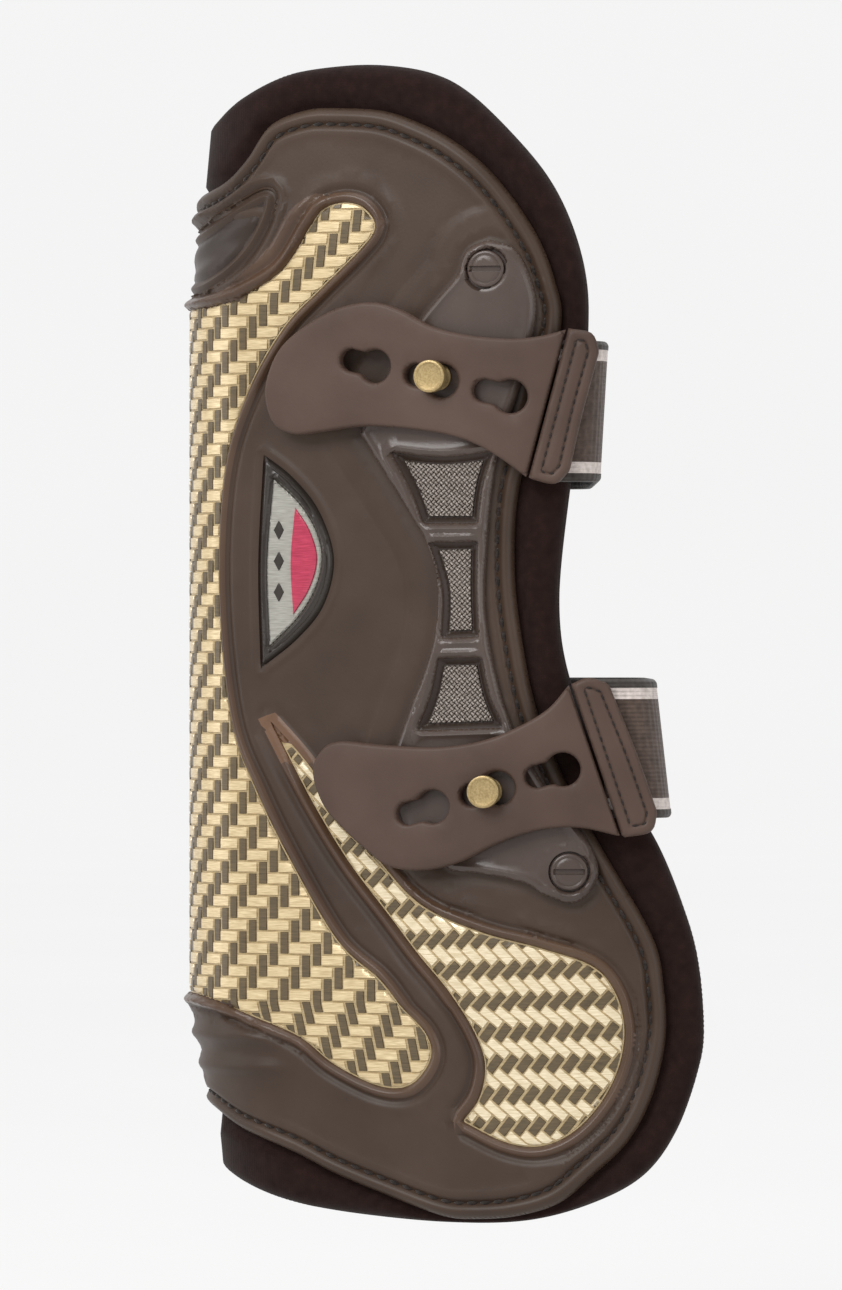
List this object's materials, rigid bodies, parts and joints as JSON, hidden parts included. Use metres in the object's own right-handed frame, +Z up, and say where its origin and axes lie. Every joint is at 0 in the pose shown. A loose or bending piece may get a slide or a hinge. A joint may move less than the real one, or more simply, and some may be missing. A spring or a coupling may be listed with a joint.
{
  "type": "tendon boot",
  "caption": "Open-front tendon boot for a horse: moulded shell on a neoprene liner with woven-look inserts and elastic keyhole straps on brass studs.",
  "frame": {"origin": "on the leg's centreline, level with the boot's lowest edge", "axes": "+Z up the leg, +X towards the open front, -Y towards the lateral side that carries the studs"},
  "size_m": [0.1171, 0.1085, 0.2603],
  "materials": {
    "shell_tpu": "satin moulded",
    "frame_tpu": "semi-gloss moulded",
    "tab_tpu": "satin moulded",
    "liner_neoprene": "knit-faced neoprene",
    "gel_pad": "soft gel",
    "woven_panel": "gold and olive woven relief",
    "window_mesh": "metallic mesh",
    "stud_brass": "brushed",
    "washer_steel": "brushed",
    "elastic_webbing": "ribbed elastic with pale edge lines",
    "badge_silver": "silver satin",
    "badge_enamel": "red gloss"
  },
  "bodies": {
    "boot": {"neoprene_liner": "liner_neoprene", "tendon_gel_pad": "gel_pad", "outer_shell": "shell_tpu", "tendon_weave_panel": "woven_panel", "rear_flex_insert": "frame_tpu", "lateral_leaf_panel": "woven_panel", "lateral_flex_frame": "frame_tpu", "lateral_mesh_upper": "window_mesh", "lateral_mesh_middle": "window_mesh", "lateral_mesh_lower": "window_mesh", "lateral_plug_upper": "frame_tpu", "lateral_plug_lower": "frame_tpu", "medial_leaf_panel": "woven_panel", "medial_flex_frame": "frame_tpu", "medial_mesh_upper": "window_mesh", "medial_mesh_middle": "window_mesh", "medial_mesh_lower": "window_mesh", "medial_plug_upper": "frame_tpu", "medial_plug_lower": "frame_tpu", "badge_bezel": "shell_tpu", "badge_plate": "badge_silver", "badge_inlay": "badge_enamel", "upper_stud": "stud_brass", "upper_stud_washer": "washer_steel", "upper_anchor_patch": "tab_tpu", "lower_stud": "stud_brass", "lower_stud_washer": "washer_steel", "lower_anchor_patch": "tab_tpu"},
    "upper_strap": {"upper_elastic": "elastic_webbing"},
    "upper_seam": {"upper_seam_plate": "tab_tpu"},
    "upper_flap": {"upper_tab": "tab_tpu"},
    "lower_strap": {"lower_elastic": "elastic_webbing"},
    "lower_seam": {"lower_seam_plate": "tab_tpu"},
    "lower_flap": {"lower_tab": "tab_tpu"}
  },
  "joints": [
    {"name": "upper_strap_swing", "type": "hinge", "parent": "boot", "child": "upper_strap", "pos_m": [0.03141, 0.05004, 0.18175], "axis": [0, 0, 1], "range_deg": [0, 110], "deforming": ["upper_elastic"]},
    {"name": "upper_strap_pull", "type": "slide", "parent": "upper_strap", "child": "upper_seam", "axis": [-0.96, 0.152, 0.235], "range_m": [0, 0.003], "stiffness_N_per_m": 400},
    {"name": "upper_tab_fold", "type": "hinge", "parent": "upper_seam", "child": "upper_flap", "pos_m": [0.03649, -0.05154, 0.1836], "axis": [0.2475, -0.027, 0.9685], "range_deg": [0, 95], "stiffness_Nm_per_rad": 0.06, "deforming": ["upper_tab"]},
    {"name": "lower_strap_swing", "type": "hinge", "parent": "boot", "child": "lower_strap", "pos_m": [0.03813, 0.05058, 0.1065], "axis": [0, 0, 1], "range_deg": [0, 110], "deforming": ["lower_elastic"]},
    {"name": "lower_strap_pull", "type": "slide", "parent": "lower_strap", "child": "lower_seam", "axis": [-0.9511, 0.117, -0.286], "range_m": [0, 0.003], "stiffness_N_per_m": 400},
    {"name": "lower_tab_fold", "type": "hinge", "parent": "lower_seam", "child": "lower_flap", "pos_m": [0.04657, -0.05192, 0.1038], "axis": [-0.3111, 0.0086, 0.9503], "range_deg": [0, 95], "stiffness_Nm_per_rad": 0.06, "deforming": ["lower_tab"]}
  ]
}
